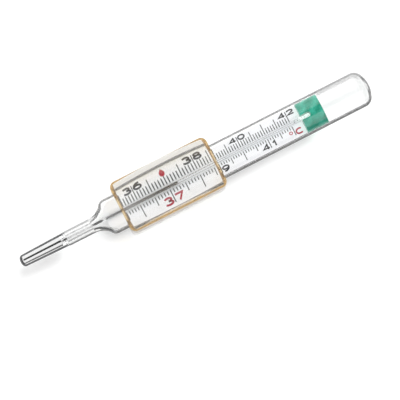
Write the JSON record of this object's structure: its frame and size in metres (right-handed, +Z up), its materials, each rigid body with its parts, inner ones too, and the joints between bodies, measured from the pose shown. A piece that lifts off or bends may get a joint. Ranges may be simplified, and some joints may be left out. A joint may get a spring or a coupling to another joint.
{
  "type": "clinical thermometer",
  "caption": "Glass clinical thermometer with an enclosed scale plate, a silver bulb, a measuring column that rises in a capillary, and a reading magnifier that slides along the oval stem.",
  "frame": {"origin": "middle of the thermometer's length, on the plane of the magnifier's flat underside", "axes": "+X along the stem from the bulb towards the domed end, +Y across the stem towards the row of longer marks, +Z up through the lens"},
  "size_m": [0.128, 0.0178, 0.0188],
  "materials": {
    "sheath_glass": "polished",
    "bulb_glass": "polished",
    "collar_glass": "fused",
    "capillary_glass": "polished",
    "silver_liquid": "mirror liquid",
    "opal_plate": "opal glass",
    "green_plastic": "translucent",
    "amber_plastic": "translucent",
    "lens_acrylic": "clear polished",
    "base_plastic": "milky moulded",
    "pad_rubber": "soft matt"
  },
  "bodies": {
    "thermometer": {"sheath": "sheath_glass", "bulb": "bulb_glass", "bulb_collar": "collar_glass", "capillary": "capillary_glass", "bulb_liquid": "silver_liquid", "scale_plate": "opal_plate", "stopper": "green_plastic"},
    "magnifier": {"magnifier_frame": "amber_plastic", "magnifier_lens": "lens_acrylic", "magnifier_base": "base_plastic", "grip_pads": "pad_rubber"},
    "column": {"column_thread": "silver_liquid", "column_head": "silver_liquid"}
  },
  "joints": [
    {"name": "magnifier_slide", "type": "slide", "parent": "thermometer", "child": "magnifier", "axis": [1, 0, 0], "range_m": [-0.0035, 0.052]},
    {"name": "column_rise", "type": "slide", "parent": "thermometer", "child": "column", "axis": [1, 0, 0], "range_m": [-0.0162, 0.0423], "deforming": ["column_thread"]}
  ]
}
